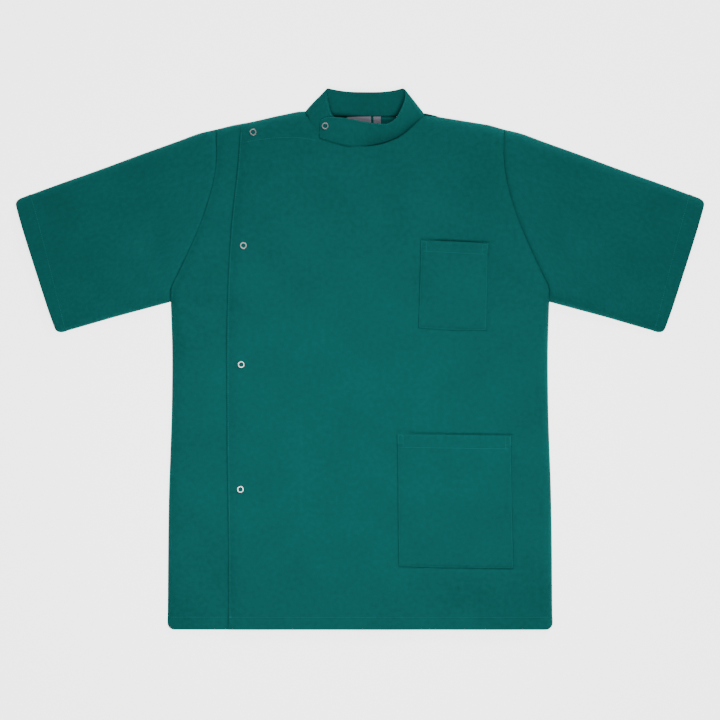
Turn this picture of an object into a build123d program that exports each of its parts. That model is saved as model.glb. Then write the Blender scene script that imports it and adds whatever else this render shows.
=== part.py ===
"""A short-sleeved clinical tunic laid flat on its back, in millimetres.

X runs across the garment, Y up to the collar, Z away from the table. The origin is
on the table, under the middle of the garment's bounding box. "Right" and "left" are
the wearer's: the wearer's right side is at negative X.
"""

import os

from build123d import *

os.makedirs("parts", exist_ok=True)

# Cloth thicknesses
cloth = 0.5
stiffener = 0.3
label_cloth = 0.3

# Heights above the table of the upper faces of the layers
front_top = 11.5
underlap_top = 8.2
collar_top = 12.8
collar_end_top = 9.5
pocket_top = 17.0

# How far in from its edge each part reaches its full height
body_rim = 14.0
chest_rim = 12.0
hip_rim = 16.0

# The main sizes across and along the garment
hem_y = -387.5
hem_half = 275.9
waist_half = 268.8
waist_y = -60.0
underarm_x = 271.6
underarm_y = 82.5
armhole_x = 207.0
armhole_y = 330.6
cuff_top = (493.5, 225.6)
cuff_bottom = (432.5, 37.3)
cuff_overrun = (59.0, -20.0)
neck_right = (-76.0, 356.7)
neck_left = (92.1, 351.5)
back_neck_y = 349.0
seam_allowance = 5.0

# Where the front folds back, and the gap left between parts that move past each other
fold_x = -15.0
fold_gap = 0.4
sleeve_gap = 0.8

# Press studs
stud_places = [(-167.1, 163.4), (-170.3, -7.2), (-171.3, -186.1), (-153.2, 325.9)]
collar_stud_place = (-50.0, 334.8)
ring_radius = 4.8
ring_hole = 3.1
ring_height = 0.8
socket_radius = 5.0
socket_hole = 3.0
socket_height = 1.1
stud_base_height = 0.55
stud_head_radius = 2.6
stud_height = 1.6
back_ring_height = 0.6


def mirrored(point):
    """The same place on the other side of the garment."""
    return (-point[0], point[1])


# The whole garment's outline, carried on past the hem, the cuffs and the neck
cuff_top_far = (cuff_top[0] + cuff_overrun[0], cuff_top[1] + cuff_overrun[1])
cuff_bottom_far = (cuff_bottom[0] + cuff_overrun[0], cuff_bottom[1] - 16.0)
left_half = [
    (hem_half + 1.0, hem_y - 60.0),
    (waist_half, waist_y),
    (underarm_x, underarm_y),
    cuff_bottom_far,
    cuff_top_far,
    (armhole_x, armhole_y),
]
right_half = [mirrored(point) for point in reversed(left_half)]
envelope = left_half + [neck_left, (76.0, 420.0), (-60.0, 420.0), neck_right] + right_half


def pillow(outline, base, top, rim):
    """A block on the outline whose sides lean in by the rim width as they rise."""
    with BuildPart() as block:
        with BuildSketch(Plane.XY.offset(base)):
            with BuildLine():
                Polyline(*outline, close=True)
            make_face()
        with BuildSketch(Plane.XY.offset(top)):
            with BuildLine():
                Polyline(*outline, close=True)
            make_face()
            offset(amount=-rim, kind=Kind.INTERSECTION, mode=Mode.REPLACE)
        loft(ruled=True)
    return block.part


def canopy(outline, base, top, rim):
    """The upper skin of such a block, one cloth thick."""
    block = pillow(outline, base, top, rim)
    return block - Pos(0, 0, -cloth) * block


def column(outline, low, high):
    """A straight-sided block over a closed outline, between two heights."""
    with BuildPart() as block:
        with BuildSketch(Plane.XY.offset(low)):
            with BuildLine():
                Polyline(*outline, close=True)
            make_face()
        extrude(amount=high - low)
    return block.part


def save(name, solid):
    """Label one part and write it to its file."""
    solid.label = name
    export_step(solid, "parts/" + name + ".step")


front_canopy = canopy(envelope, cloth, front_top, body_rim)
slope = body_rim / (front_top - cloth)
underlap_canopy = canopy(envelope, cloth, underlap_top, slope * (underlap_top - cloth))

# Edges shared by several parts
shoulder_right = [(-armhole_x, armhole_y), (-153.0, 341.5), (-119.7, 349.3)]
shoulder_right = shoulder_right + [(-88.0, 355.5), neck_right]
front_neckline = [
    neck_left,
    (79.3, 340.8 + seam_allowance),
    (58.8, 324.3 + seam_allowance),
    (36.1, 314.7 + seam_allowance),
    (7.2, 309.2 + seam_allowance),
    (fold_x + fold_gap, 309.0 + seam_allowance),
]
flap_neckline = [
    (fold_x - fold_gap, 309.0 + seam_allowance),
    (-34.9, 313.0 + seam_allowance),
    (-56.0, 320.0 + seam_allowance),
    (-66.0, 336.0),
    (-78.0, 354.0),
]
flap_shoulder = [(-88.0, 355.5), (-119.7, 349.3), (-154.0, 341.3), (-171.1, 336.0)]
flap_edge = [
    (-175.8, 271.0),
    (-181.9, 218.0),
    (-186.4, 164.5),
    (-189.1, 111.4),
    (-191.0, 32.0),
    (-191.0, -58.0),
    (-188.5, -288.0),
    (-188.5, hem_y),
]
underlap_edge = [
    (-115.0, hem_y),
    (-115.0, 60.0),
    (-100.0, 160.0),
    (-60.0, 250.0),
    (-25.0, 306.0),
]
underlap_neckline = [(-25.0, 315.0), (-35.0, 318.0), (-56.0, 325.0), (-66.0, 340.0)]

# Back panel, flat on the table
back_outline = [
    (-hem_half, hem_y),
    (hem_half, hem_y),
    (waist_half, waist_y),
    (underarm_x, underarm_y),
    (armhole_x, armhole_y),
    neck_left,
    (60.0, back_neck_y),
    (-42.0, back_neck_y),
    neck_right,
    (-armhole_x, armhole_y),
    (-underarm_x, underarm_y),
    (-waist_half, waist_y),
]
with BuildPart() as back_panel:
    with BuildSketch():
        with BuildLine():
            Polyline(*back_outline, close=True)
        make_face()
    extrude(amount=cloth)
save("back_panel", back_panel.part)

# The wearer's left front, up to the fold line
front_outline = [
    (fold_x + fold_gap, hem_y),
    (hem_half + 5.0, hem_y),
    (hem_half + 5.0, waist_y),
    (underarm_x + 5.0, waist_y),
    (underarm_x, underarm_y),
    (armhole_x, armhole_y + 5.0),
    (neck_left[0], neck_left[1] + 0.1),
] + front_neckline[1:]
front_body = front_canopy & column(front_outline, 0, 20)
save("front_panel", front_body)

# The wearer's right front, which lies under the flap
underlap_outline = (
    underlap_edge
    + underlap_neckline
    + [neck_right, (-armhole_x, armhole_y + 5.0), (-underarm_x, underarm_y)]
    + [(-underarm_x - 5.0, waist_y), (-hem_half - 5.0, waist_y), (-hem_half - 5.0, hem_y)]
)
underlap_body = underlap_canopy & column(underlap_outline, 0, 20)
save("underlap_panel", underlap_body)

# The facing and stiffener behind the underlap's studs
underlap_band = underlap_edge[:4] + [(-75.0, 318.0), (-152.0, 327.0), (-172.0, 321.0)]
underlap_band = underlap_band + [(-186.0, 60.0), (-186.0, hem_y)]
underlap_low = underlap_top - cloth
with BuildPart() as underlap_interlining:
    with BuildSketch(Plane.XY.offset(underlap_low - stiffener)):
        with BuildLine():
            Polyline(*underlap_band, close=True)
        make_face()
        offset(amount=-2.0, kind=Kind.INTERSECTION, mode=Mode.REPLACE)
    extrude(amount=stiffener)
save("underlap_interlining", underlap_interlining.part)

facing_top = underlap_low - stiffener
with BuildPart() as underlap_facing:
    with BuildSketch(Plane.XY.offset(facing_top - cloth)):
        with BuildLine():
            Polyline(*underlap_band, close=True)
        make_face()
    extrude(amount=cloth)
save("underlap_facing", underlap_facing.part)

# The flap that crosses over and closes at the wearer's right side
flap_outline = [(fold_x - fold_gap, hem_y)] + flap_neckline + flap_shoulder + flap_edge
with BuildPart() as front_flap:
    with BuildSketch(Plane.XY.offset(front_top - cloth)):
        with BuildLine():
            Polyline(*flap_outline, close=True)
        make_face()
    extrude(amount=cloth)
save("front_flap", front_flap.part)

flap_low = front_top - cloth
flap_band = [(-78.0, 352.0)] + flap_shoulder + flap_edge
flap_band = flap_band + [(-126.0, hem_y), (-128.0, 60.0), (-122.0, 170.0), (-100.0, 262.0)]
flap_band = flap_band + [(-66.0, 326.0)]
with BuildPart() as flap_interlining:
    with BuildSketch(Plane.XY.offset(flap_low - stiffener)):
        with BuildLine():
            Polyline(*flap_band, close=True)
        make_face()
        offset(amount=-2.0, kind=Kind.INTERSECTION, mode=Mode.REPLACE)
    extrude(amount=stiffener)
save("flap_interlining", flap_interlining.part)

flap_facing_low = flap_low - stiffener - cloth
with BuildPart() as flap_facing:
    with BuildSketch(Plane.XY.offset(flap_facing_low)):
        with BuildLine():
            Polyline(*flap_band, close=True)
        make_face()
    extrude(amount=cloth)
save("flap_facing", flap_facing.part)

# Sleeves: a flat back layer joined to a raised front layer along top and underarm
sleeve_plan = [
    (armhole_x + sleeve_gap, armhole_y + 3.0),
    (underarm_x + sleeve_gap, underarm_y - 3.0),
    (cuff_bottom[0] + 1.0, cuff_bottom[1] - 3.0),
    (cuff_top[0] + 1.0, cuff_top[1] + 3.0),
]
floor_plan = [
    (armhole_x + sleeve_gap, armhole_y - 0.3),
    (underarm_x + sleeve_gap, underarm_y - 0.2),
    cuff_bottom,
    cuff_top,
]
sleeve_floor = column(floor_plan, 0, cloth)
sleeve_roof = front_canopy & column(sleeve_plan, 0, 20)
sleeve_left = sleeve_roof + (sleeve_floor & column(sleeve_plan, 0, 20))
save("sleeve_left", sleeve_left)
sleeve_right = sleeve_left.mirror(Plane.YZ)
save("sleeve_right", sleeve_right)


# Stand collar: a flattened tube, cut at a slant below by the neckline and above by its top edge
def collar_section(y, inset):
    """The tube's outline at one distance along the garment, drawn in by the inset."""
    fold_right = neck_right[0] + 0.903 * (y - neck_right[1])
    fold_left = neck_left[0] - 0.757 * (y - neck_left[1])
    corners = [
        (fold_right, collar_end_top / 2),
        (fold_right + 8.0, 0),
        (fold_left - 8.0, 0),
        (fold_left, collar_top / 2),
        (fold_left - 8.0, collar_top),
        (-20.0, collar_top),
        (-20.0, collar_end_top),
        (fold_right + 8.0, collar_end_top),
    ]
    with BuildSketch(Plane.XZ.offset(-y)) as section:
        with BuildLine():
            Polyline(*corners, close=True)
        make_face()
        if inset > 0:
            offset(amount=-inset, kind=Kind.INTERSECTION, mode=Mode.REPLACE)
    return section.sketch


def collar_tube(inset):
    """The solid tube inside one face of the collar's cloth."""
    return loft([collar_section(300.0, inset), collar_section(392.0, inset)], ruled=True)


collar_left_plan = [
    (fold_x + fold_gap, 309.0),
    (7.2, 309.2),
    (36.1, 314.7),
    (58.8, 324.3),
    (79.3, 340.8),
    neck_left,
    (140.0, neck_left[1]),
    (140.0, 388.0),
    (63.9, 388.0),
    (64.2, 378.6),
    (60.8, 364.9),
    (55.3, 355.3),
    (41.0, 337.5),
    (10.1, 340.1),
    (-9.2, 343.7),
    (fold_x + fold_gap, 345.3),
]
collar_back_plan = [
    (-140.0, neck_right[1]),
    neck_right,
    (-42.0, back_neck_y),
    (60.0, back_neck_y),
    neck_left,
    (140.0, neck_left[1]),
    (140.0, 388.0),
    (63.9, 388.0),
    (46.0, 383.1),
    (14.0, 382.5),
    (-9.0, 383.0),
    (-46.0, 387.7),
    (-140.0, 387.7),
]
collar_right_plan = [
    (-140.0, neck_right[1]),
    neck_right,
    (-64.0, 334.0),
    (-55.0, 321.0),
    (-35.0, 314.0),
    (-25.0, 311.0),
    (-25.0, 344.0),
    (-38.8, 349.5),
    (-45.0, 366.9),
    (-47.7, 381.7),
    (-46.0, 387.7),
    (-140.0, 387.7),
]
left_mid = collar_top / 2
right_mid = collar_end_top / 2
collar_space = (
    column(collar_left_plan, left_mid, 20)
    + (column(collar_back_plan, -1, left_mid) & Pos(100, 350, 0) * Box(200, 200, 60))
    + (column(collar_back_plan, -1, right_mid) & Pos(-100, 350, 0) * Box(200, 200, 60))
    + column(collar_right_plan, right_mid, 20)
)
collar_faces = [0, cloth, cloth + stiffener, cloth + stiffener + cloth]
tubes = [collar_tube(inset) for inset in collar_faces]
collar_names = ["collar_outer", "collar_interlining", "collar_inner"]
for layer, name in enumerate(collar_names):
    save(name, (tubes[layer] - tubes[layer + 1]) & collar_space)

# The collar's free end, which rides on the flap
tab_outline = [
    (fold_x - fold_gap, 309.0),
    (-34.9, 313.0),
    (-58.1, 320.0),
    (-59.2, 332.0),
    (-57.5, 343.0),
    (-51.0, 346.6),
    (-37.5, 347.6),
    (-19.5, 346.6),
    (fold_x - fold_gap, 345.5),
]
tab_faces = [collar_top - depth for depth in collar_faces]
tab_names = ["collar_tab_outer", "collar_tab_interlining", "collar_tab_inner"]
for layer, name in enumerate(tab_names):
    save(name, column(tab_outline, tab_faces[layer + 1], tab_faces[layer]))


# Patch pockets, closed on three sides and open towards the collar
def pocket(corners, rim):
    """A patch pocket standing slightly open; corners run from the mouth's right end."""
    mouth_right, bottom_right, bottom_left, mouth_left = corners
    raised_right = (mouth_right[0], mouth_right[1] + 40.0)
    raised_left = (mouth_left[0], mouth_left[1] + 40.0)
    skin = canopy(
        [raised_right, bottom_right, bottom_left, raised_left], front_top, pocket_top, rim
    )
    skin = skin & Pos(0, 0, front_top + 10) * Box(1000, 1000, 20)
    plan = [mouth_right, bottom_right, bottom_left, mouth_left]
    return skin & column(plan, front_top, 30)


chest_corners = [(86.9, 171.4), (83.3, 44.0), (182.0, 41.2), (184.2, 167.0)]
hip_corners = [(53.2, -106.6), (54.9, -299.0), (220.4, -300.0), (216.7, -109.2)]
save("chest_pocket", pocket(chest_corners, chest_rim))
save("hip_pocket", pocket(hip_corners, hip_rim))


def bar_tacks(mouth_right, mouth_left, length):
    """Two short bars of close stitches beside the ends of a pocket's mouth."""
    places = [(mouth_right[0] - 1.2, mouth_right[1]), (mouth_left[0] + 1.2, mouth_left[1])]
    with BuildPart() as tacks:
        for x, y in places:
            with Locations((x, y - length / 2, front_top + 0.3)):
                Box(1.4, length, 0.6)
    return tacks.part


save("chest_pocket_tacks", bar_tacks(chest_corners[0], chest_corners[3], 9.0))
save("hip_pocket_tacks", bar_tacks(hip_corners[0], hip_corners[3], 13.0))

# The bar tack that ties the flap's edge to its hem
with BuildPart() as flap_hem_tack:
    with Locations((-186.4, -369.5, front_top + 0.3)):
        Box(4.5, 1.6, 0.6)
save("flap_hem_tack", flap_hem_tack.part)

# Woven neck label and its size tab, sewn into the back neck seam
with BuildPart() as neck_label:
    with Locations((-1.8, back_neck_y - 24.0, cloth + label_cloth / 2)):
        Box(35.3, 47.0, label_cloth)
save("neck_label", neck_label.part)
with BuildPart() as size_label:
    with Locations((24.4, back_neck_y - 11.0, cloth + label_cloth / 2)):
        Box(10.9, 21.0, label_cloth)
save("size_label", size_label.part)

# Press studs: an open ring and a socket on the flap, a stud and a ring on the underlap
flap_levels = [(place, front_top, flap_facing_low) for place in stud_places]
flap_levels.append((collar_stud_place, collar_top, tab_faces[3]))
with BuildPart() as snap_rings:
    for (x, y), upper, lower in flap_levels:
        with Locations((x, y, upper)):
            Cylinder(ring_radius, ring_height, align=(Align.CENTER, Align.CENTER, Align.MIN))
            Cylinder(
                ring_hole,
                ring_height,
                align=(Align.CENTER, Align.CENTER, Align.MIN),
                mode=Mode.SUBTRACT,
            )
    ring_tops = snap_rings.edges().filter_by(GeomType.CIRCLE)
    ring_tops = ring_tops.filter_by(
        lambda edge: min(abs(edge.center().Z - u - ring_height) for _, u, _ in flap_levels) < 1e-6
    )
    fillet(ring_tops, 0.35)
save("snap_rings", snap_rings.part)

with BuildPart() as snap_sockets:
    for (x, y), upper, lower in flap_levels:
        with Locations((x, y, lower)):
            Cylinder(
                socket_radius, socket_height, align=(Align.CENTER, Align.CENTER, Align.MAX)
            )
            Cylinder(
                socket_hole,
                socket_height,
                align=(Align.CENTER, Align.CENTER, Align.MAX),
                mode=Mode.SUBTRACT,
            )
save("snap_sockets", snap_sockets.part)

underlap_facing_low = facing_top - cloth
underlap_levels = [(place, underlap_top, underlap_facing_low) for place in stud_places]
underlap_levels.append(
    (collar_stud_place, collar_end_top, collar_end_top - collar_faces[3])
)
with BuildPart() as snap_studs:
    for (x, y), upper, lower in underlap_levels:
        with Locations((x, y, upper)):
            Cylinder(
                socket_radius, stud_base_height, align=(Align.CENTER, Align.CENTER, Align.MIN)
            )
            Cylinder(
                stud_head_radius, stud_height, align=(Align.CENTER, Align.CENTER, Align.MIN)
            )
save("snap_studs", snap_studs.part)

with BuildPart() as snap_back_rings:
    for (x, y), upper, lower in underlap_levels:
        with Locations((x, y, lower)):
            Cylinder(
                socket_radius, back_ring_height, align=(Align.CENTER, Align.CENTER, Align.MAX)
            )
            Cylinder(
                ring_hole,
                back_ring_height,
                align=(Align.CENTER, Align.CENTER, Align.MAX),
                mode=Mode.SUBTRACT,
            )
save("snap_back_rings", snap_back_rings.part)
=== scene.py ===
"""A short-sleeved clinical tunic laid flat on its back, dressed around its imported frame.

X runs across the garment towards the wearer's left sleeve, Y up to the collar, Z away
from the table. Plan sizes are in millimetres; mesh() turns them into metres.
"""

import math

import bpy
import numpy as np
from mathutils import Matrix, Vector


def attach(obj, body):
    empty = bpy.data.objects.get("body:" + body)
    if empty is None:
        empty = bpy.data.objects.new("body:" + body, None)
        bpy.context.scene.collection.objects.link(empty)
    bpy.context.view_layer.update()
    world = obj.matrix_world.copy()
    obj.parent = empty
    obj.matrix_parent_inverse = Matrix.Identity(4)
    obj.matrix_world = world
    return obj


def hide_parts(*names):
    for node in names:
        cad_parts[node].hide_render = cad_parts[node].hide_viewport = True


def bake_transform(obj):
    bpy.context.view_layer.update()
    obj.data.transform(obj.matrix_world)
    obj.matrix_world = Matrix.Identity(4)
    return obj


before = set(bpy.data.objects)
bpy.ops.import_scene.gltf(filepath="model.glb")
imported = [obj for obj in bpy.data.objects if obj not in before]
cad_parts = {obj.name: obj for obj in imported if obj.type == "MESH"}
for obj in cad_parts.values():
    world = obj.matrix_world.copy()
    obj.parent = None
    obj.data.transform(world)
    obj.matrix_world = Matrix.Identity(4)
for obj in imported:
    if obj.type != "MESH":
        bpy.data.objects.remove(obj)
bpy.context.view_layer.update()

# ---------------------------------------------------------------------------
# Back panel: one layer of plain-weave polyester cotton, flat on the table. It is cut
# from side seam to side seam and ends at the straight back neck seam.
hem_y = -387.5
cloth = 0.5


def smooth_line(points, step=1.5):
    """A cubic curve through the given points, sampled every step: each span is the
    Hermite cubic whose end slopes are the averages of the chords beside them."""
    p = np.array(points, float)
    t = np.concatenate([[0], np.cumsum(np.linalg.norm(np.diff(p, axis=0), axis=1))])
    m = np.gradient(p, t, axis=0)
    q = np.linspace(0, t[-1], max(int(t[-1] / step), 2) + 1)
    i = np.clip(np.searchsorted(t, q, side="right") - 1, 0, len(t) - 2)
    h = (t[i + 1] - t[i])[:, None]
    s = (q - t[i])[:, None] / h
    return (
        (2 * s**3 - 3 * s**2 + 1) * p[i]
        + (s**3 - 2 * s**2 + s) * h * m[i]
        + (3 * s**2 - 2 * s**3) * p[i + 1]
        + (s**3 - s**2) * h * m[i + 1]
    )


def at_places(line, places):
    """Points at the given shares, 0 to 1, of a line's length."""
    t = np.concatenate([[0], np.cumsum(np.linalg.norm(np.diff(line, axis=0), axis=1))])
    return np.stack([np.interp(np.array(places) * t[-1], t, c) for c in line.T], -1)


def stations(length, step, fine=()):
    """Places from 0 to 1 along a length, a step apart, and closer near each fine spot,
    given as (where, reach, closer step): the running total of 1 / step is cut evenly."""
    x = np.linspace(0, length, 6000)
    density = np.full(x.shape, 1 / step)
    for where, reach, closer in fine:
        density = np.maximum(density, np.exp(-(((x - where) / reach) ** 4)) / closer)
    total = np.concatenate([[0], np.cumsum((density[1:] + density[:-1]) / 2 * np.diff(x))])
    count = int(math.ceil(total[-1]))
    return np.interp(np.linspace(0, total[-1], count + 1), total, x) / length


def mesh(name, points, uv, thick=cloth, wrap=False, flip=False):
    """A sheet from a grid of points (rows, columns, xyz in mm), with its flat cloth
    coordinates as UVs in metres. Solidify adds the thickness behind the face side."""
    rows, cols = points.shape[:2]
    index = np.arange(rows * cols).reshape(rows, cols)
    if wrap:
        index = np.vstack([index, index[:1]])
        uv = np.vstack([uv, uv[:1] + (uv[-1:] - uv[-2:-1]) + (uv[-1:] - uv[:1])])
    corners = [index[:-1, :-1], index[:-1, 1:], index[1:, 1:], index[1:, :-1]]
    uvs = [uv[:-1, :-1], uv[:-1, 1:], uv[1:, 1:], uv[1:, :-1]]
    if flip:
        corners, uvs = corners[::-1], uvs[::-1]
    faces = np.stack(corners, -1).reshape(-1, 4)
    data = bpy.data.meshes.new(name)
    data.from_pydata((points.reshape(-1, 3) / 1000).tolist(), [], faces.tolist())
    layer = data.uv_layers.new(name="UVMap")
    layer.data.foreach_set("uv", (np.stack(uvs, -2).reshape(-1) / 1000).astype(np.float32))
    data.shade_smooth()
    piece = bpy.data.objects.new(name, data)
    bpy.context.scene.collection.objects.link(piece)
    if thick:
        solid = piece.modifiers.new("thickness", "SOLIDIFY")
        solid.thickness = thick / 1000
        solid.offset = -1
    return piece


def cloth_material(name, colour, weave=0.42):
    """Dyed plain-weave cloth: two crossed thread waves on the UVs, a fine mottle of
    uneven yarn, slow changes of tone that are painted shade of the cloth's soft
    undulations, and a soft sheen."""
    material = bpy.data.materials.new(name)
    material.use_nodes = True
    tree = material.node_tree
    nodes, links = tree.nodes, tree.links
    shader = nodes["Principled BSDF"]
    shader.inputs["Roughness"].default_value = 0.88
    shader.inputs["Specular IOR Level"].default_value = 0.06
    shader.inputs["Sheen Weight"].default_value = 0.12
    shader.inputs["Sheen Roughness"].default_value = 0.4
    shader.inputs["Sheen Tint"].default_value = (0.03, 0.8, 0.74, 1)
    place = nodes.new("ShaderNodeUVMap")
    place.uv_map = "UVMap"

    def noise(scale, detail):
        """One noise texture on the UVs."""
        node = nodes.new("ShaderNodeTexNoise")
        node.inputs["Scale"].default_value = scale
        node.inputs["Detail"].default_value = detail
        links.new(place.outputs["UV"], node.inputs["Vector"])
        return node.outputs["Fac"]

    def maths(kind, a, b):
        """One math node of two inputs, each a socket or a number."""
        node = nodes.new("ShaderNodeMath")
        node.operation = kind
        for socket, value in zip(node.inputs, (a, b)):
            if isinstance(value, (int, float)):
                socket.default_value = value
            else:
                links.new(value, socket)
        return node.outputs[0]

    waves = []
    for direction in ("X", "Y"):
        wave = nodes.new("ShaderNodeTexWave")
        wave.bands_direction = direction
        wave.inputs["Scale"].default_value = 0.314159 / (weave / 1000)
        wave.inputs["Distortion"].default_value = 0.35
        wave.inputs["Detail"].default_value = 1
        links.new(place.outputs["UV"], wave.inputs["Vector"])
        waves.append(wave.outputs["Fac"])
    threads = maths("MULTIPLY", waves[0], waves[1])
    yarn = noise(900, 2)
    mottle = noise(160, 3)
    # Painted shade: slow changes of tone, about 70 mm across, in place of the shading of the
    # cloth's soft undulations.
    painted_undulation_shade = noise(14, 3)
    shade = maths("ADD", maths("MULTIPLY", painted_undulation_shade, 0.30), maths("MULTIPLY", mottle, 0.46))
    shade = maths("ADD", shade, maths("MULTIPLY", yarn, 0.30))
    shade = maths("ADD", shade, maths("MULTIPLY", threads, 0.10))
    ramp = nodes.new("ShaderNodeMapRange")
    ramp.inputs["From Min"].default_value = 0.35
    ramp.inputs["From Max"].default_value = 0.82
    ramp.inputs["To Min"].default_value = 0.80
    ramp.inputs["To Max"].default_value = 1.20
    links.new(shade, ramp.inputs["Value"])
    # The dye colour times the tone, which carries the painted shade as well as the yarn mottle.
    dye_and_painted_shade = nodes.new("ShaderNodeMix")
    dye_and_painted_shade.data_type = "RGBA"
    dye_and_painted_shade.blend_type = "MULTIPLY"
    dye_and_painted_shade.inputs[0].default_value = 1
    dye_and_painted_shade.inputs[6].default_value = (*colour, 1)
    links.new(ramp.outputs["Result"], dye_and_painted_shade.inputs[7])
    links.new(dye_and_painted_shade.outputs[2], shader.inputs["Base Color"])
    rough = nodes.new("ShaderNodeMapRange")
    rough.inputs["To Min"].default_value = 0.80
    rough.inputs["To Max"].default_value = 0.95
    links.new(mottle, rough.inputs["Value"])
    links.new(rough.outputs["Result"], shader.inputs["Roughness"])
    relief = maths("ADD", maths("MULTIPLY", threads, 0.6), maths("MULTIPLY", yarn, 0.6))
    relief = maths("ADD", relief, maths("MULTIPLY", mottle, 1.6))
    bump = nodes.new("ShaderNodeBump")
    bump.inputs["Strength"].default_value = 0.55
    bump.inputs["Distance"].default_value = 0.00018
    links.new(relief, bump.inputs["Height"])
    links.new(bump.outputs["Normal"], shader.inputs["Normal"])
    return material


teal = cloth_material("tunic_cloth", (0.0012, 0.104, 0.0955))

underarm = (271.6, 82.5)
shoulder_end = (206.5, 330.2)
side_seam = smooth_line([(276.2, hem_y), (274.3, -200), (270.0, -60), (269.6, 14), underarm])
armhole = smooth_line(
    [underarm, (270.4, 98.5), (260, 122), (244.5, 155), (229, 191), (214.5, 233)]
    + [(206, 272), (204.2, 306), shoulder_end]
)
side_line = np.vstack([side_seam, armhole[1:]])
corner_radius = 10.0


def side_x(y):
    """How far the body reaches to the side at a height: the side seam, then the
    armhole, with the hem's corner rounded off."""
    x = np.interp(y, side_line[:, 1], side_line[:, 0])
    into = np.clip(corner_radius - (y - hem_y), 0, corner_radius)
    return x - corner_radius + np.sqrt(corner_radius**2 - into**2)


def sewn_x(y):
    """The body's side with the armhole's seam turning, which lies over the sleeve."""
    return side_x(y) + 1.5 * ease((y - 92) / 16) * (1 - ease((y - 312) / 14))


def ease(t):
    """A smooth step from 0 to 1."""
    t = np.clip(t, 0, 1)
    return t * t * (3 - 2 * t)


def body_grid(left, right, top, u, v, knot=None):
    """Plan points of a body panel: each row runs from the left edge to the right edge
    at its own height, through the knot (share, x) if given; each column runs from the
    hem to the top line, found by letting x and the top's height settle together."""
    shares, middle = ([0, knot[0], 1], knot[1]) if knot else ([0, 0.5, 1], None)

    def across(y):
        """The x of each column at the given heights."""
        a, b = left(y), right(y)
        m = (a + b) / 2 if middle is None else np.full_like(a, middle)
        low = a + (m - a) * np.clip(u / shares[1], 0, 1)
        return low + (b - m) * np.clip((u - shares[1]) / (1 - shares[1]), 0, 1)

    y_top = np.full(u.shape, 340.0)
    for _ in range(60):
        y_top = 0.5 * y_top + 0.5 * np.interp(across(y_top), top[:, 0], top[:, 1])
    y = hem_y + v[:, None] * (y_top - hem_y)[None, :]
    return across(y), y


def turning(width, rows):
    """Distances in from an edge and depths below the face for a hem folded under: the
    turned part from its raw edge to the fold, a half-round fold, then the rows."""
    inside = np.linspace(width, 1.2, max(int(width / 3), 3))
    bend = [(0.5, 1.05), (0.12, 0.9), (0.0, 0.52), (0.12, 0.15), (0.5, 0.0)]
    away = np.concatenate([inside, [d for d, _ in bend], rows[rows > 0.9]])
    depth = np.concatenate([np.full(len(inside), 1.05), [z for _, z in bend]])
    return away, np.concatenate([depth, np.zeros(len(away) - len(depth))])


back_top = np.array(
    [(-206.5, 330.2), (-182, 336.3), (-154, 341.3), (-119.7, 349.3), (-88, 355.5)]
    + [(-76, 356.5), (-58, 351.5), (-42, 349), (60, 349), (76, 349.6), (92, 351.2)]
    + [(115, 347.8), (184.5, 336.2), (206.5, 330.2)]
)
u = stations(552, 5, [(0, 12, 2), (552, 12, 2)])
v = stations(740, 5, [(0, 12, 2)])
x, y = body_grid(lambda h: -side_x(h), side_x, back_top, u, v)
back = mesh(
    "back_panel_cloth",
    np.stack([x, y, np.full(x.shape, cloth)], -1),
    np.stack([x + 900, y], -1),
)
back.data.materials.append(teal)
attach(back, "garment")
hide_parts("back_panel")

# ---------------------------------------------------------------------------
# Front: one piece of cloth from the wearer's left side seam across to the free edge at
# the right. The part beyond the fold line is the flap, and a column of the grid lies on
# that line.
front_top = 11.5
underlap_top = 8.2
fold_x = -15.0
hem_turn = 18.0
ring_places = np.array([(-167.1, 163.4), (-170.3, -7.2), (-171.3, -186.1), (-153.2, 325.9)])
sleeve_top_edge = smooth_line(
    [shoulder_end, (230, 324.6), (258.7, 314.2), (316, 293.6), (373.6, 272.3), (431, 252)]
    + [(495.3, 228.2)]
)
sleeve_low_edge = np.array([underarm, (352, 60.8), (434.6, 36.9)])
left_shoulder = np.array([(92.1, 351.5), (115, 347.8), (184.5, 336.6), shoulder_end])
right_shoulder = np.array(
    [(-76, 356.7), (-88, 355.9), (-119.7, 349.3), (-154, 341.3), (-182.6, 336), (-206.5, 330.2)]
)
mirror = np.array([-1, 1])
closed_edges = [side_seam[::8], sleeve_low_edge, sleeve_top_edge[::8], left_shoulder]
closed_edges += [edge * mirror for edge in closed_edges[:3]] + [right_shoulder]
neckline = smooth_line(
    [(-58.1, 317.6), (-34.9, 310.4), (-12.5, 305.6), (7.2, 305.4), (36.1, 310.7)]
    + [(58.8, 320.6), (79.3, 338.2), (92.1, 350.6)]
)
chest_corners = [(83.3, 44.5), (181.9, 41.2), (86.9, 171.4), (184.2, 166.7)]
hip_corners = [(54.9, -297.4), (220.4, -300), (53.2, -106.6), (216.7, -109.2)]
free_edge = smooth_line(
    [(-188.5, hem_y), (-188.5, -288), (-191, -58), (-191, 32), (-189.1, 111.4)]
    + [(-186.4, 164.5), (-181.9, 218), (-175.8, 271), (-171.1, 337)]
)


def line_distance(x, y, line):
    """The shortest distance from each point to a line of straight spans."""
    a, d = line[:-1], np.diff(line, axis=0)
    p = np.stack([x, y], -1)[..., None, :]
    t = np.clip(((p - a) * d).sum(-1) / (d * d).sum(-1), 0, 1)
    return np.linalg.norm(p - a - t[..., None] * d, axis=-1).min(-1)


def rise(x, y, reach=17.0):
    """How far the front has risen off the back, 0 at a seam to 1 inside it: the upper
    quarter of an ellipse, as a folded edge has."""
    d = np.min([line_distance(x, y, edge) for edge in closed_edges], axis=0)
    t = np.clip(d / reach, 0, 1)
    return np.sqrt(t * (2 - t))


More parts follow.
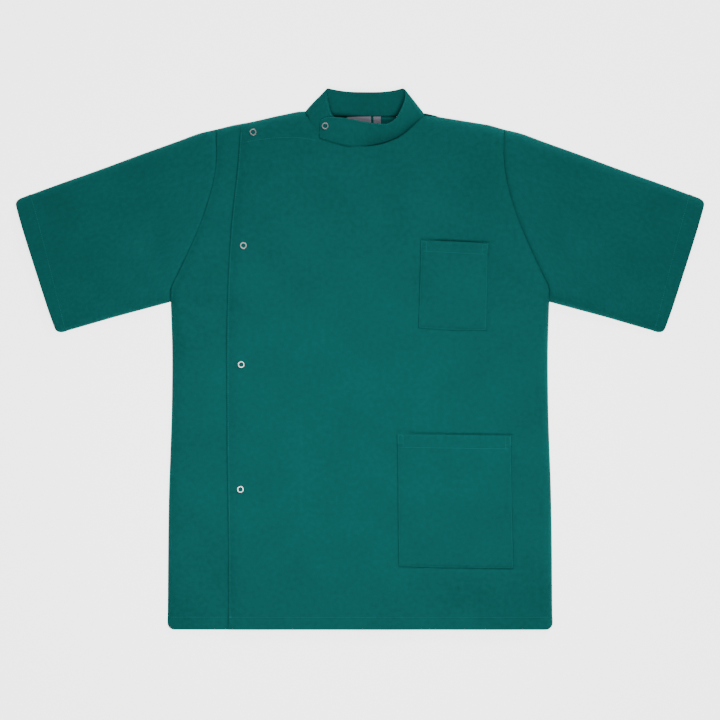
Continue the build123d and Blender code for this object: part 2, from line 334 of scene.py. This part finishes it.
def swell(x, y):
    """The slow unevenness of laid cloth in millimetres: sine waves of several lengths
    and directions, with drag lines fanning from the two underarms."""
    total = np.zeros_like(x)
    for length, angle, phase, height in [
        (260, 20, 0.4, 0.55), (190, 105, 1.9, 0.45), (135, 62, 4.0, 0.34),
        (110, 150, 2.6, 0.28), (82, 12, 5.1, 0.20), (64, 84, 0.9, 0.15),
        (47, 131, 3.3, 0.09), (36, 40, 1.2, 0.06),
    ]:
        run = x * math.cos(math.radians(angle)) + y * math.sin(math.radians(angle))
        bend = 0.5 * np.sin(y / 97 + phase) + 0.4 * np.sin(x / 71 + 2 * phase)
        total += height * np.sin(2 * math.pi * run / length + phase + bend)
    for side in (-1, 1):
        away = np.hypot(x - side * underarm[0], y - underarm[1])
        turn = np.arctan2(y - underarm[1], side * underarm[0] - x)
        total += 0.55 * np.exp(-(((away - 70) / 55) ** 2)) * np.sin(9 * turn + 0.6)
    return total


def seam_groove(x, y, depth=1.0):
    """How far the cloth dips towards the armhole seams and the neckline."""
    near = np.minimum(line_distance(x, y, armhole[::4]), line_distance(-x, y, armhole[::4]))
    groove = depth * np.exp(-((near / 5.0) ** 2))
    return groove + 1.3 * np.exp(-((line_distance(x, y, neckline[::4]) / 5.0) ** 2))


def seam_drop(x):
    """How far the collar's seam is sunk below the front, from none at the tab."""
    return 7.6 * ease((x + 10) / 30) * ease((95 - x) / 20)


def settle(y):
    """How much lower the cloth lies towards the hem."""
    return 3.2 * (1 - ease((y - hem_y) / 130))


def level(x, y, height, foot):
    """The face height of a body layer: its own height away from the seams, lowered to
    its foot at them, with the shared swells, grooves and settling."""
    up = rise(x, y)
    ripple = 0.9 * np.sin(x / 29 + 0.7) * (1 - ease((y - hem_y) / 110))
    body = height - foot + swell(x, y) - settle(y) + ripple
    return foot + up * (body - seam_groove(x, y))


def pressed(x, y, z, places, height):
    """The sheet drawn flat to one height around each press stud."""
    for px, py in places:
        hold = np.exp(-((np.hypot(x - px, y - py) / 9.0) ** 4))
        z = z + (height - z) * hold
    return z


def underlap_height(x, y):
    """The face height of the wearer's right front."""
    return pressed(x, y, level(x, y, underlap_top, 0.8), ring_places, underlap_top)


def front_height(x, y):
    """The face height of the front and its flap: it sinks onto the underlap along the
    free edge and turns under there over the last half millimetre."""
    z = level(x, y, front_top, 1.45) - pocket_groove(x, y)
    z = pressed(x, y, z, ring_places, front_top)
    inside = x - np.interp(y, free_edge[:, 1], free_edge[:, 0])
    low = underlap_height(x, y) + 1.3 + 0.35 * np.sin(y / 19) * np.sin(y / 43 + 1)
    z = z + np.minimum(low - z, 0) * np.exp(-((inside / 9.0) ** 2))
    neck = line_distance(x, y, np.array([(-80, 354.5), (-60, 322.0)]))
    z = z - 0.6 * np.exp(-((neck / 6.0) ** 2))
    turn = np.clip(1 - inside / 0.7, 0, 1)
    return z - 0.5 * (1 - np.sqrt(1 - turn**2))


def pocket_groove(x, y):
    """How far the front is pulled down along the edges of its pockets."""
    dip = np.zeros_like(x)
    for low_l, low_r, top_l, top_r in (chest_corners, hip_corners):
        sewn = np.array([top_l, low_l, low_r, top_r], float)
        mouth = np.array([top_l, top_r], float) + (0, 0.9)
        dip = np.maximum(dip, 1.3 * np.exp(-((line_distance(x, y, sewn) / 2.0) ** 2)))
        dip = np.maximum(dip, 1.7 * np.exp(-((line_distance(x, y, mouth) / 1.3) ** 2)))
    return dip


def neck_roll(x, y):
    """How far the front rolls down beyond its neckline to meet the sunk seam."""
    beyond = y - np.interp(x, neckline[:, 0], neckline[:, 1], left=400, right=400)
    return seam_drop(x) * ease((beyond + 0.8) / 2.2)


front_line = np.vstack(
    [
        [(-171.1, 336.2), (-154, 341.3), (-119.7, 349.3), (-90, 355.2), (-80, 354.5)],
        [(-68, 337), (-60, 324.5)],
        neckline[2:] + (0, 2.5),
        left_shoulder[1:],
    ]
)
fold_share = 0.374
front_width, front_length = 464, 738
hip_mouth_row, chest_mouth_row = 286.5, 564.5
u = stations(
    front_width, 3.4, [(0, 1.6, 0.22), (0, 8, 1.6), (173.5, 14, 1.1), (front_width, 9, 1.2)]
)
rows = stations(
    front_length,
    3.9,
    [(0, 24, 1.8), (hip_mouth_row, 9, 0.9), (chest_mouth_row, 8, 0.9)]
    + [(front_length, 14, 1.6), (front_length, 3.5, 0.5)],
)
away, depth = turning(hem_turn, rows * front_length)
x, y = body_grid(
    lambda h: np.interp(h, free_edge[:, 1], free_edge[:, 0]),
    sewn_x,
    front_line,
    u,
    away / front_length,
    knot=(fold_share, fold_x),
)
x[-1:, -1] = shoulder_end[0]
z = front_height(x, y) - neck_roll(x, y) - depth[:, None]
front = mesh("front_cloth", np.stack([x, y, z], -1), np.stack([x, y], -1))
front.data.materials.append(teal)
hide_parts("front_panel", "front_flap")
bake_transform(front)

# ---------------------------------------------------------------------------
# Flap facing: a shaped strip of the same cloth behind the free edge and the shoulder
# edge, with iron-on interlining between it and the flap to hold the press studs.
def strip(outer, inner, corner, u_places, v_places):
    """Plan points between two lines. Each line is two spans joined at its corner, and
    the corners lie on one row, so that rows fan round the bend."""
    first = v_places <= corner
    edges = []
    for one, two in (outer, inner):
        edges.append(
            np.vstack(
                [
                    at_places(one, v_places[first] / corner),
                    at_places(two, (v_places[~first] - corner) / (1 - corner)),
                ]
            )
        )
    u = u_places[None, :, None]
    return edges[0][:, None] * (1 - u) + edges[1][:, None] * u


facing_outer = (free_edge[:-1], np.array([(-170.9, 335.8), (-119.7, 348.6), (-81, 353.8)]))
facing_inner = (
    smooth_line([(-126, hem_y), (-128, 60), (-122, 170), (-108, 240)]),
    smooth_line([(-108, 240), (-95, 272), (-66, 326)]),
)
v = stations(830, 5, [(722, 20, 2.5)])
plan = strip(facing_outer, facing_inner, 0.87, stations(62, 4, [(0, 1.6, 0.25)]), v)
x, y = plan[..., 0], plan[..., 1]
edge = np.clip(1 - (x - np.interp(y, free_edge[:, 1], free_edge[:, 0])) / 0.7, 0, 1)
z = front_height(x, y) - 1.05 + 0.5 * (1 - np.sqrt(1 - edge**2))
facing = mesh("flap_facing_cloth", np.stack([x, y, z], -1), plan + (1500, 0), flip=True)
facing.data.materials.append(teal)
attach(facing, "flap")
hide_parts("flap_facing", "flap_interlining")

# ---------------------------------------------------------------------------
# Underlap: the wearer's right front, from the right side seam to a free edge that lies
# under the flap. Its facing and interlining back the studs.
underlap_edge = smooth_line(
    [(-115, hem_y), (-115, -150), (-114, 60), (-100, 160), (-64, 250), (-27, 306), (-25, 316)]
)
underlap_line = np.vstack(
    [
        right_shoulder[::-1][:-1],
        [(-78, 355.8), (-66, 340), (-56, 325), (-35, 318), (-25, 315.5)],
    ]
)
u = stations(160, 3.4, [(0, 9, 1.2), (160, 1.6, 0.3), (160, 10, 1.6)])
rows = stations(front_length, 4.0, [(0, 26, 1.6), (front_length, 14, 2)])
away, depth = turning(hem_turn, rows * front_length)
x, y = body_grid(
    lambda h: -sewn_x(h),
    lambda h: np.interp(h, underlap_edge[:, 1], underlap_edge[:, 0]),
    underlap_line,
    u,
    away / front_length,
)
z = underlap_height(x, y) - depth[:, None] * np.clip(rise(x, y, 6.0), 0.15, 1)
underlap = mesh("underlap_cloth", np.stack([x, y, z], -1), np.stack([x + 300, y], -1))
underlap.data.materials.append(teal)
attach(underlap, "garment")
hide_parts("underlap_panel")

facing_low = smooth_line([(-186, hem_y), (-186, 60), (-182, 200), (-168, 318)])
facing_high = smooth_line(
    [(-115.4, hem_y), (-115.4, -150), (-114.4, 60), (-100.4, 160), (-76, 318)]
)
v = stations(715, 6)
a = stations(70, 4)
plan = at_places(facing_low, v)[:, None] * (1 - a[None, :, None])
plan = plan + at_places(facing_high, v)[:, None] * a[None, :, None]
x, y = plan[..., 0], plan[..., 1]
z = underlap_height(x, y) - 1.1
stay = mesh("underlap_facing_cloth", np.stack([x, y, z], -1), plan + (2100, 0), flip=True)
stay.data.materials.append(teal)
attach(stay, "garment")
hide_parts("underlap_facing", "underlap_interlining")

# ---------------------------------------------------------------------------
# Sleeves: one piece of cloth each, folded into a flat tube with its seam at the
# underarm and its hem turned inside at the cuff.
sleeve_hem = 20.0
sleeve_length = 255
sleeve_width = 250
cuff_corner = 8.0


def sleeve_plan(along, across):
    """Plan points of one layer of the wearer's left sleeve: the blend of armhole and
    cuff plus the blend of underarm and top edges, less the blend of the corners. The
    cuff's ends are drawn in to round its corners."""
    seam = at_places(armhole, across)
    cuff = at_places(np.array([sleeve_low_edge[-1], sleeve_top_edge[-1]]), across)
    low, top = at_places(sleeve_low_edge, along), at_places(sleeve_top_edge, along)
    s, t = along[None, :, None], across[:, None, None]
    grid = seam[:, None] * (1 - s) + cuff[:, None] * s + low[None] * (1 - t) + top[None] * t
    low_corners = (seam[0] * (1 - s) + cuff[0] * s) * (1 - t)
    grid = grid - low_corners - (seam[-1] * (1 - s) + cuff[-1] * s) * t
    width = np.linalg.norm(cuff[-1] - cuff[0])
    corner = np.clip(cuff_corner - width * np.minimum(t, 1 - t), 0, cuff_corner)
    pull = cuff_corner - np.sqrt(cuff_corner**2 - corner**2)
    bow = 2.0 * (1 - (2 * t - 1) ** 4)
    return grid + np.array((0.951, -0.308)) * (bow - pull) * ease((s - 0.9) / 0.1)


def sleeve_height(x, y, start):
    """The upper face of a sleeve: level with the body at the seam, settling lower
    towards the cuff, where the hem makes shallow waves."""
    out = ease(line_distance(x, y, armhole[::4]) / 90)
    to_cuff = 1 - ease(line_distance(x, y, np.array([(434.6, 36.9), (495.3, 228.2)])) / 90)
    body = start + (9.0 - start) * out - 2.0 * to_cuff
    body = body + (swell(x, y) + 0.7 * np.sin((y - 0.3 * x) / 17) * to_cuff) * (0.4 + 0.3 * out)
    seam = line_distance(x, y, armhole[::4])
    groove = 1.0 * np.exp(-((seam / 5.0) ** 2)) + 1.6 * np.exp(-((seam / 3.4) ** 2))
    return 0.95 + rise(x, y) * (body - 0.95 - groove)


def sleeve(name, side, start, node):
    """One sleeve: its upper layer and its lower layer make one closed tube, which runs
    from the armhole to the cuff and back inside for the turned hem."""
    rows = stations(sleeve_width, 3.6, [(0, 10, 1.2), (sleeve_width, 10, 1.2)])
    runs = stations(sleeve_length, 3.4, [(0, 6, 1.2), (sleeve_length, 30, 1.6)])
    away, depth = turning(sleeve_hem, runs * sleeve_length)
    along = 1 - away / sleeve_length
    plan = sleeve_plan(along, rows)
    x, y = plan[..., 0], plan[..., 1]
    upper = sleeve_height(x, y, start)
    inset = depth[None, :] * np.clip(rise(x, y, 5.0), 0.15, 1)
    top = np.stack([side * x, y, upper - inset], -1)
    low = np.stack([side * x, y, 0.02 + inset], -1)[::-1][1:-1]
    flat = np.stack([away[None, :] + 0 * x, rows[:, None] * sleeve_width + 0 * x], -1)
    back = flat[::-1][1:-1] * (1, -1) + (0, 500)
    tube = mesh(name, np.vstack([top, low]), np.vstack([flat, back]), wrap=True, flip=side > 0)
    tube.data.materials.append(teal)
    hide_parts(node)
    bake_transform(tube)
    return tube


sleeve("left_sleeve_cloth", 1, front_top, "sleeve_left")
sleeve("right_sleeve_cloth", -1, underlap_top, "sleeve_right")

# ---------------------------------------------------------------------------
# Stand collar: a stiffened band, two layers of cloth turned at the top edge over
# interlining. It runs from the underlap's end round the back of the neck and, past the
# wearer's left shoulder, on to the free tab that crosses the front.
collar_height = 38


def collar_band(low, top, free_start, free_end, roll):
    """Middle surface of a stretch of the band between its seam line and its top edge,
    both given as knots, bowed out from the neck by the roll near the seam. Returns
    points, the direction towards the neck and the half thickness, rounded off at the
    free edges."""
    low, top = smooth_line(low, 1.0), smooth_line(top, 1.0)
    length = np.linalg.norm(np.diff(low, axis=0), axis=1).sum()
    fine = [(0, 1.2, 0.25)] * free_start + [(length, 1.2, 0.25)] * free_end
    s = stations(length, 2.0, fine)
    t = stations(collar_height, 2.2, [(collar_height, 1.3, 0.22)])
    a, b = at_places(low, s)[None], at_places(top, s)[None]
    h = t[:, None, None]
    points = a * (1 - h) + b * h
    bow = np.interp(s, np.linspace(0, 1, len(roll)), roll)[None, :, None]
    along = np.gradient(points, axis=1)
    normal = np.cross(along, np.gradient(points, axis=0))
    normal = normal / np.linalg.norm(normal, axis=-1, keepdims=True)
    points = points - normal * bow * np.sin(math.pi * h**0.8)
    edge = collar_height * (1 - t)[:, None] + 0 * s[None]
    if free_start:
        edge = np.minimum(edge, length * s[None])
    if free_end:
        edge = np.minimum(edge, length * (1 - s)[None])
    k = np.clip(1 - edge / 0.8, 0, 1)
    return points, normal, 0.05 + 0.60 * np.sqrt(1 - k**2)


def collar_layers(prefix, band, nodes, body, blend_to):
    """The band's outer and inner cloth, each half the thickness off the middle."""
    points, normal, half = band
    rows, cols = points.shape[:2]
    along, up = np.linspace(0, 2 * cols, cols), np.linspace(0, collar_height, rows)
    uv = np.stack(np.meshgrid(along, up), -1)
    made = []
    for way, word in ((-1, "outer"), (1, "inner")):
        face = points + normal * (way * half[..., None])
        layer = mesh(prefix + word + "_cloth", face, uv + (700, 700), flip=way < 0)
        layer.data.materials.append(teal)
        made.append(layer)
    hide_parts(*nodes[:2])
    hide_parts(nodes[2])
    for layer in made:
        if blend_to:
            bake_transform(layer)
        else:
            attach(layer, body)


root_low = [
    (-25, 309.5, 9.0), (-40, 312.5, 9.4), (-57, 318, 9.9), (-68, 333, 9.9), (-75.5, 349, 7.6),
    (-77.2, 356.4, 3.6), (-72, 356.0, 1.6), (-60, 352.3, 0.9), (-42, 349.3, 0.75),
    (8, 349, 0.75), (58, 349.3, 0.75), (76, 350.2, 0.9), (88, 351.4, 1.9), (92.3, 351.5, 4.6),
]
root_top = [
    (-25.5, 344.0, 9.0), (-34, 346.2, 9.1), (-39.8, 351, 9.2), (-43.2, 360, 9.4),
    (-45.8, 371, 9.8), (-47.4, 381, 10.2), (-48.2, 386.2, 10.0), (-46.6, 388.6, 9.2),
    (-42, 388.0, 8.4), (-34, 386.4, 8.2), (-20, 384.4, 8.4), (8, 383.4, 8.8),
    (36, 384.1, 8.4), (50, 386.0, 8.2), (57.5, 387.9, 8.4), (61.8, 388.6, 9.0),
    (64.2, 387.0, 9.8),
]
back_roll = [0.2, 0.6, 0.8, 0.2, 0.1, 0.1, 0.1, 0.3]
back_band = collar_band(root_low, root_top, True, False, back_roll)
collar_layers(
    "collar_", back_band, ["collar_outer", "collar_interlining", "collar_inner"],
    "garment", None,
)
front_seam = np.array(
    [(84, 342.4), (72, 331.2), (58.8, 320.9), (46, 314.8), (36, 310.9), (22, 307.3)]
    + [(7.2, 305.6), (-12.5, 305.7), (-34.9, 310.4), (-50, 315.2), (-58.1, 317.8)]
)
seam_z = front_height(*front_seam.T) + 0.45 - seam_drop(front_seam[:, 0])
front_low = [(92.3, 351.5, 4.6), (90.3, 348.4, 6.4)]
front_low += [(a, b, c) for (a, b), c in zip(front_seam, seam_z)]
front_high = [
    (64.2, 387.0, 9.8), (64.8, 382, 11.2), (64.2, 375, 13.2), (61.4, 365.5, 15.4),
    (56.5, 354.5, 17.2), (49, 343.5, 17.6), (39.5, 338.0, 17.0), (24, 338.4, 15.4),
    (8, 340.4, 14.0), (-12, 344.4, 13.0), (-34, 347.4, 12.1), (-50, 346.8, 12.0),
    (-57.8, 342.3, 12.0),
]
front_roll = [0.4, 3.0, 4.6, 5.0, 4.6, 3.0, 0.8, 0.1, 0]
front_band = collar_band(front_low, front_high, False, True, front_roll)
collar_layers(
    "collar_tab_", front_band,
    ["collar_tab_outer", "collar_tab_interlining", "collar_tab_inner"],
    "garment", "flap",
)

# ---------------------------------------------------------------------------
# Patch pockets: cloth turned in on all sides and sewn to the front along three of
# them; the mouth's hem is turned inside and stands a little open.
pocket_gape = 2.6


def pocket_sheet(name, corners, sag, node):
    """A pocket on a grid between its four corners, mouth at the top, its lower edge
    bowed by the sag. Its face is the front's height plus its own cloth, rounded at the
    sewn edges, plus the gape, which grows towards the middle of the mouth."""
    low_l, low_r, top_l, top_r = (np.array(c, float) for c in corners)
    wide, tall = np.linalg.norm(low_r - low_l), np.linalg.norm(top_l - low_l)
    u = stations(wide, 2.6, [(0, 1.5, 0.25), (wide, 1.5, 0.25)])
    rows = stations(tall, 2.8, [(tall, 1.5, 0.3)]) * tall
    away, depth = turning(17.0, rows)
    v = 1 - away / tall
    a, b = u[None, :, None], v[:, None, None]
    plan = (low_l * (1 - a) + low_r * a) * (1 - b) + (top_l * (1 - a) + top_r * a) * b
    plan[..., 1] -= sag * (4 * a * (1 - a) * (1 - b))[..., 0]
    x, y = plan[..., 0], plan[..., 1]
    side = np.minimum(np.minimum(u, 1 - u)[None, :] * wide, (v * tall)[:, None])
    z = pocket_z(x, y, side, v[:, None] * tall, wide, tall)
    z = z - depth[:, None] * np.clip(side / 3, 0, 1)
    sheet = mesh(name, np.stack([x, y, z], -1), plan + (0, 3), flip=True)
    sheet.data.materials.append(teal)
    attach(sheet, "garment")
    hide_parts(node)


def pocket_face(corners, line):
    """A plan line lifted onto the face of a pocket, clear of its mouth's gape."""
    low_l, low_r, top_l, top_r = (np.array(c, float) for c in corners)
    tall = np.linalg.norm(top_l - low_l)
    wide = np.linalg.norm(low_r - low_l)
    left = low_l[0] + (top_l[0] - low_l[0]) * (line[:, 1] - low_l[1]) / tall
    right = low_r[0] + (top_r[0] - low_r[0]) * (line[:, 1] - low_r[1]) / tall
    low = low_l[1] + (low_r[1] - low_l[1]) * (line[:, 0] - low_l[0]) / wide
    side = np.minimum(np.minimum(line[:, 0] - left, right - line[:, 0]), line[:, 1] - low)
    z = pocket_z(line[:, 0], line[:, 1], side, line[:, 1] - low, wide, tall)
    return np.column_stack([line, z])


def pocket_z(x, y, side, above, wide, tall):
    """The face height of a pocket from its distances to the nearest sewn edge and to
    the bottom: the front, its own cloth rounded at the edge, and the mouth's gape."""
    turn = np.clip(1 - side / 1.0, 0, 1)
    lift = ease(side / (0.28 * wide)) * ease(above / (0.55 * tall))
    return front_height(x, y) + 0.35 + 0.75 * np.sqrt(1 - turn**2) + pocket_gape * lift


pocket_sheet("chest_pocket_cloth", chest_corners, 1.2, "chest_pocket")
pocket_sheet("hip_pocket_cloth", hip_corners, 0.6, "hip_pocket")

# ---------------------------------------------------------------------------
# Topstitching: matching polyester thread, eight stitches to 25 mm, along the pockets,
# hems, cuffs, collar, flap edge and shoulder, with bar tacks at the pocket mouths and
# the flap's hem. Each stitch is a slim bead half sunk in the cloth. The thread's colour
# is the cloth's teal made lighter, a painted highlight along the stitch lines.
thread_painted_highlight = cloth_material("sewing_thread_painted_highlight", (0.0090, 0.190, 0.177), weave=0.3)
stitch_step = 3.1


def stitches(name, lines, body, blend_to=None, half=1.15, node=None):
    """Beads along lines of face points: four rings of four points each, small at the
    ends, laid along the line every stitch_step with its top just above the face. They
    stand for the frame's node where one is given."""
    ring = np.array([(-1, 0.4), (-0.65, 1), (0.65, 1), (1, 0.4)]) * (half, 1)
    side = np.array([(1, 0), (0, 1), (-1, 0), (0, -1)])
    places, turns = [], []
    for line in lines:
        line = np.asarray(line, float)
        length = np.linalg.norm(np.diff(line, axis=0), axis=1).sum()
        count = max(int(length / stitch_step), 1)
        ends = at_places(line, np.linspace(0, 1, count + 1))
        places.append((ends[1:] + ends[:-1]) / 2)
        turns.append(np.diff(ends, axis=0))
    c, t = np.vstack(places), np.vstack(turns)
    t = t / np.linalg.norm(t, axis=1, keepdims=True)
    s = np.cross(t, (0, 0, 1.0))
    s = s / np.linalg.norm(s, axis=1, keepdims=True)
    n = np.cross(s, t)
    p = c[:, None, None] + t[:, None, None] * ring[None, :, None, :1]
    p = p + ring[None, :, None, 1:] * (
        0.30 * s[:, None, None] * side[None, None, :, :1]
        + 0.22 * n[:, None, None] * side[None, None, :, 1:]
    )
    k = np.arange(16).reshape(4, 4)
    faces = np.stack([k[:-1], k[1:], np.roll(k, -1, 1)[1:], np.roll(k, -1, 1)[:-1]], -1)
    faces = np.vstack([faces.reshape(-1, 4), k[:1], k[-1:, ::-1]])
    faces = (faces[None] + 16 * np.arange(len(c))[:, None, None]).reshape(-1, 4)
    data = bpy.data.meshes.new(name)
    data.from_pydata((p.reshape(-1, 3) / 1000).tolist(), [], faces.tolist())
    layer = data.uv_layers.new(name="UVMap")
    flat = p.reshape(-1, 3)[faces.reshape(-1), :2] / 1000
    layer.data.foreach_set("uv", flat.reshape(-1).astype(np.float32))
    data.shade_smooth()
    piece = bpy.data.objects.new(name, data)
    bpy.context.scene.collection.objects.link(piece)
    data.materials.append(thread_painted_highlight)
    if node:
        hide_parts(node)
    if blend_to:
        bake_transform(piece)
    else:
        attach(piece, body)


def on(height, line, lift=0.05):
    """A plan line lifted onto a face."""
    return np.column_stack([line, height(line[:, 0], line[:, 1]) + lift])


def lay(a, b, step=3.0):
    """A straight plan line between two points."""
    count = max(int(math.dist(a, b) / step), 2) + 1
    return np.array(a)[None] + np.linspace(0, 1, count)[:, None] * (np.array(b) - np.array(a))


def bar_tack(start, end):
    """The cross strokes of a bar tack: plan lines 1.4 mm wide, half a millimetre apart."""
    along = (np.array(end) - np.array(start)) / math.dist(start, end)
    across = 0.7 * np.array((-along[1], along[0]))
    return [np.array([m - across, m + across]) for m in lay(start, end, 0.5)]


for pocket, corners, mouth, tack, sag in [
    ("chest_pocket", chest_corners, 16.0, 9.0, 1.2),
    ("hip_pocket", hip_corners, 19.0, 13.0, 0.6),
]:
    low_l, low_r, top_l, top_r = (np.array(c, float) for c in corners)
    right = (top_r - top_l) / np.linalg.norm(top_r - top_l)
    up_l = (top_l - low_l) / np.linalg.norm(top_l - low_l)
    up_r = (top_r - low_r) / np.linalg.norm(top_r - low_r)
    inset = 2.0
    bottom = lay(low_l + (inset, inset), low_r + (-inset, inset))
    bottom[:, 1] -= sag * np.sin(math.pi * np.linspace(0, 1, len(bottom)))
    runs = [
        lay(top_l + right * inset, low_l + (inset, inset)), bottom,
        lay(low_r + (-inset, inset), top_r - right * inset),
        lay(top_l - up_l * mouth + right * inset, top_r - up_r * mouth - right * inset),
    ]
    for top, up, way in ((top_l, up_l, 1), (top_r, up_r, -1)):
        outer, inner = way * right * inset, way * right * (inset + 6.5)
        runs += [
            lay(top - up * 2 + outer, top - up * 2 + inner),
            lay(top - up * 2 + inner, top - up * mouth + inner),
            lay(top - up * tack + outer, top - up * tack + inner),
        ]
    stitches(pocket + "_stitches", [pocket_face(corners, run) for run in runs], "garment")
    bars = bar_tack(top_l + right * 0.9, top_l + right * 0.9 - up_l * tack)
    bars += bar_tack(top_r - right * 0.9, top_r - right * 0.9 - up_r * tack)
    bars = [pocket_face(corners, bar) for bar in bars]
    stitches(pocket + "_bar_tacks", bars, "garment", half=0.8, node=pocket + "_tacks")

hem_stitch_y = hem_y + hem_turn
hem_left = lay((-188.0 + 1.5, hem_stitch_y), (side_x(hem_stitch_y) - 1.0, hem_stitch_y))
stitches("front_hem_stitches", [on(front_height, hem_left)], "garment", "flap")
hem_right = lay((-side_x(hem_stitch_y) + 1.0, hem_stitch_y), (-190.0, hem_stitch_y))
stitches("underlap_hem_stitches", [on(underlap_height, hem_right)], "garment")
edge_run = free_edge[8:-6:3] + (2.0, 0)
edge_run = edge_run[edge_run[:, 1] > hem_y + 1.5]
shoulder_run = smooth_line(
    [(-168, 311.0), (-140, 315.5), (-110, 318.0), (-85, 317.6), (-64, 314)]
)
stitches("flap_stitches", [on(front_height, edge_run), on(front_height, shoulder_run)], "flap")
hem_tack = bar_tack((-187.6, hem_stitch_y), (-184.1, hem_stitch_y))
hem_bars = [on(front_height, bar) for bar in hem_tack]
stitches("flap_hem_bar_tack", hem_bars, "flap", half=0.8, node="flap_hem_tack")

hem_place = np.array([1 - sleeve_hem / sleeve_length])
cuff_run = sleeve_plan(hem_place, np.linspace(0.01, 0.99, 70))[:, 0]
for side, start, word in ((1, front_top, "left"), (-1, underlap_top, "right")):
    cuff_z = sleeve_height(cuff_run[:, 0], cuff_run[:, 1], start) + 0.05
    cuff = np.column_stack([side * cuff_run[:, 0], cuff_run[:, 1], cuff_z])
    stitches(word + "_cuff_stitches", [cuff], word + "_sleeve")


def collar_runs(band):
    """Lines on both faces of a collar band, 2 mm below its top edge."""
    points, normal, half = band
    row = np.argmin(np.abs(np.linalg.norm(points - points[-1:], axis=-1)[:, 0] - 2.0))
    off = normal[row] * (half[row] + 0.05)[:, None]
    return [points[row] - off, points[row] + off]


stitches("collar_stitches", collar_runs(back_band), "garment")
stitches("collar_tab_stitches", collar_runs(front_band), "garment", "flap")

# ---------------------------------------------------------------------------
# Neck labels: a woven satin label and a size tab, sewn into the back neck seam and
# left without lettering.
def ribbon_material(name, colour):
    """Woven satin ribbon: a soft gloss with fine ribs along one UV direction."""
    material = bpy.data.materials.new(name)
    material.use_nodes = True
    nodes, links = material.node_tree.nodes, material.node_tree.links
    shader = nodes["Principled BSDF"]
    shader.inputs["Base Color"].default_value = (*colour, 1)
    shader.inputs["Roughness"].default_value = 0.5
    place = nodes.new("ShaderNodeUVMap")
    place.uv_map = "UVMap"
    rib = nodes.new("ShaderNodeTexWave")
    rib.inputs["Scale"].default_value = 0.314159 / 0.0004
    links.new(place.outputs["UV"], rib.inputs["Vector"])
    bump = nodes.new("ShaderNodeBump")
    bump.inputs["Distance"].default_value = 0.0001
    links.new(rib.outputs["Fac"], bump.inputs["Height"])
    links.new(bump.outputs["Normal"], shader.inputs["Normal"])
    return material


ribbon = ribbon_material("label_ribbon", (0.235, 0.225, 0.275))
for name, node, left, right, low in [
    ("neck_label_ribbon", "neck_label", -19.4, 15.8, 302.0),
    ("size_label_ribbon", "size_label", 19.0, 29.8, 327.0),
]:
    u, v = np.linspace(0, 1, 12), np.linspace(0, 1, 24)
    x = left + (right - left) * u[None, :] + 0 * v[:, None]
    y = low + (349.4 - low) * v[:, None] + 0 * u[None, :]
    z = 1.0 + 0.5 * np.sin(math.pi * v[:, None]) + 0 * x
    label = mesh(name, np.stack([x, y, z], -1), np.stack([x, y], -1), thick=0.3)
    label.data.materials.append(ribbon)
    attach(label, "garment")
    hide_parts(node)

# ---------------------------------------------------------------------------
# Press studs: nickel-plated brass, kept as the frame has them.
metal = bpy.data.materials.new("snap_metal")
metal.use_nodes = True
shader = metal.node_tree.nodes["Principled BSDF"]
shader.inputs["Base Color"].default_value = (0.42, 0.42, 0.43, 1)
shader.inputs["Metallic"].default_value = 1.0
shader.inputs["Roughness"].default_value = 0.33
for node in ("snap_rings", "snap_sockets", "snap_studs", "snap_back_rings"):
    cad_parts[node].data.materials.clear()
    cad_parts[node].data.materials.append(metal)

# ---------------------------------------------------------------------------
# Floor, light and camera: a pale table top seen from straight above.
bpy.ops.mesh.primitive_plane_add(size=40, location=(0, 0, -0.0004))
floor = bpy.context.object
floor.name = "floor"
paper = bpy.data.materials.new("pale_paper")
paper.use_nodes = True
shader = paper.node_tree.nodes["Principled BSDF"]
shader.inputs["Base Color"].default_value = (0.93, 0.93, 0.93, 1)
shader.inputs["Roughness"].default_value = 0.9
shader.inputs["Emission Color"].default_value = (1, 1, 1, 1)
shader.inputs["Emission Strength"].default_value = 3.0
floor.data.materials.append(paper)

world = bpy.data.worlds.new("studio")
world.use_nodes = True
world.node_tree.nodes["Background"].inputs["Color"].default_value = (1, 1, 1, 1)
world.node_tree.nodes["Background"].inputs["Strength"].default_value = 0.32
bpy.context.scene.world = world


def area_light(name, place, aim, size, power):
    """A square soft box that faces its aim."""
    data = bpy.data.lights.new(name, "AREA")
    data.size = size
    data.energy = power
    light = bpy.data.objects.new(name, data)
    light.location = place
    light.rotation_euler = (Vector(aim) - Vector(place)).to_track_quat("-Z", "Y").to_euler()
    bpy.context.scene.collection.objects.link(light)


area_light("overhead", (-0.03, -0.16, 0.85), (-0.03, -0.16, 0), 0.45, 6.3)
area_light("rake", (2.4, 4.0, 2.1), (0, -0.1, 0), 1.0, 158)

camera_data = bpy.data.cameras.new("camera")
camera_height = 8.0
view_width = 1.0330
camera_data.sensor_width = 36
camera_data.lens = 36 * camera_height / view_width
camera_data.clip_end = 100
camera = bpy.data.objects.new("camera", camera_data)
camera.location = (0, -0.0007, camera_height)
camera.rotation_euler = (0, 0, 0)
bpy.context.scene.collection.objects.link(camera)
bpy.context.scene.camera = camera
